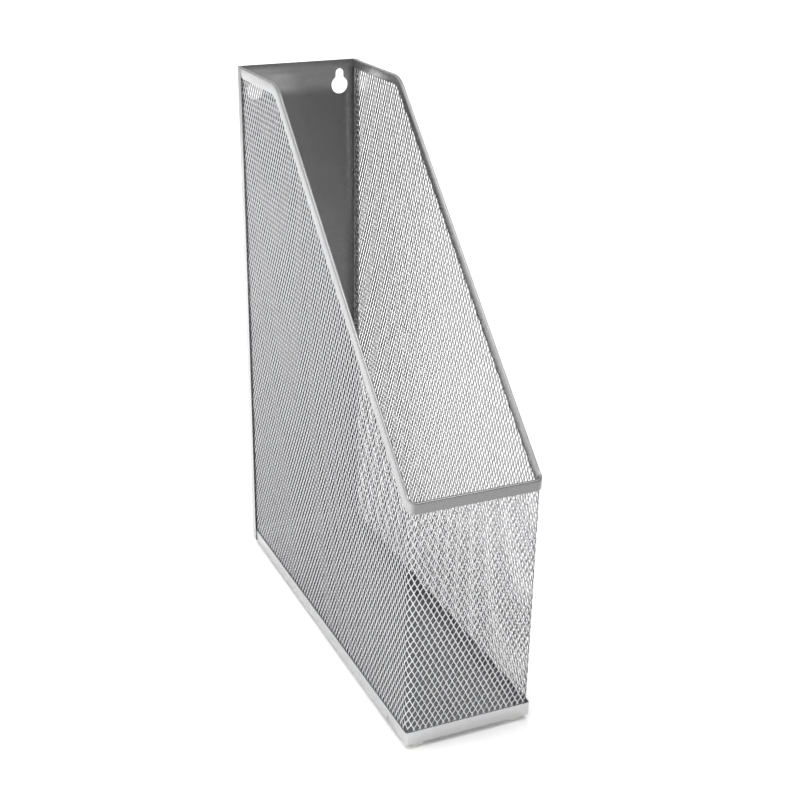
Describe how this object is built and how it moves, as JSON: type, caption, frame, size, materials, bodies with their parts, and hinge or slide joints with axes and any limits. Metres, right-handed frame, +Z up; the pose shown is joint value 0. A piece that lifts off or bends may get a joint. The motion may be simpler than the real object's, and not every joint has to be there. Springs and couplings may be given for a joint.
{
  "type": "magazine file holder",
  "caption": "Upright mesh magazine file with a solid back and floor, a folded rim that slopes down to a low front lip, keyholes for hanging and stick-on feet.",
  "frame": {"origin": "under the middle of the holder, at the level that its feet stand on", "axes": "+Z up, -Y the low front lip, +Y the solid back, X the narrow width"},
  "size_m": [0.0754, 0.2506, 0.3175],
  "materials": {
    "silver_plate": "satin silver-grey paint",
    "silver_mesh": "satin silver-grey paint",
    "silver_rim": "satin silver-grey paint",
    "silver_band": "satin silver-grey paint",
    "silver_floor": "satin silver-grey paint",
    "foot_bumper": "soft, slightly clear grey"
  },
  "bodies": {
    "root": {"back_plate": "silver_plate", "mesh_wrap": "silver_mesh", "top_rim": "silver_rim", "base_band": "silver_band", "bottom_plate": "silver_floor", "foot_front_left": "foot_bumper", "foot_front_right": "foot_bumper", "foot_rear_left": "foot_bumper", "foot_rear_right": "foot_bumper"}
  },
  "joints": []
}
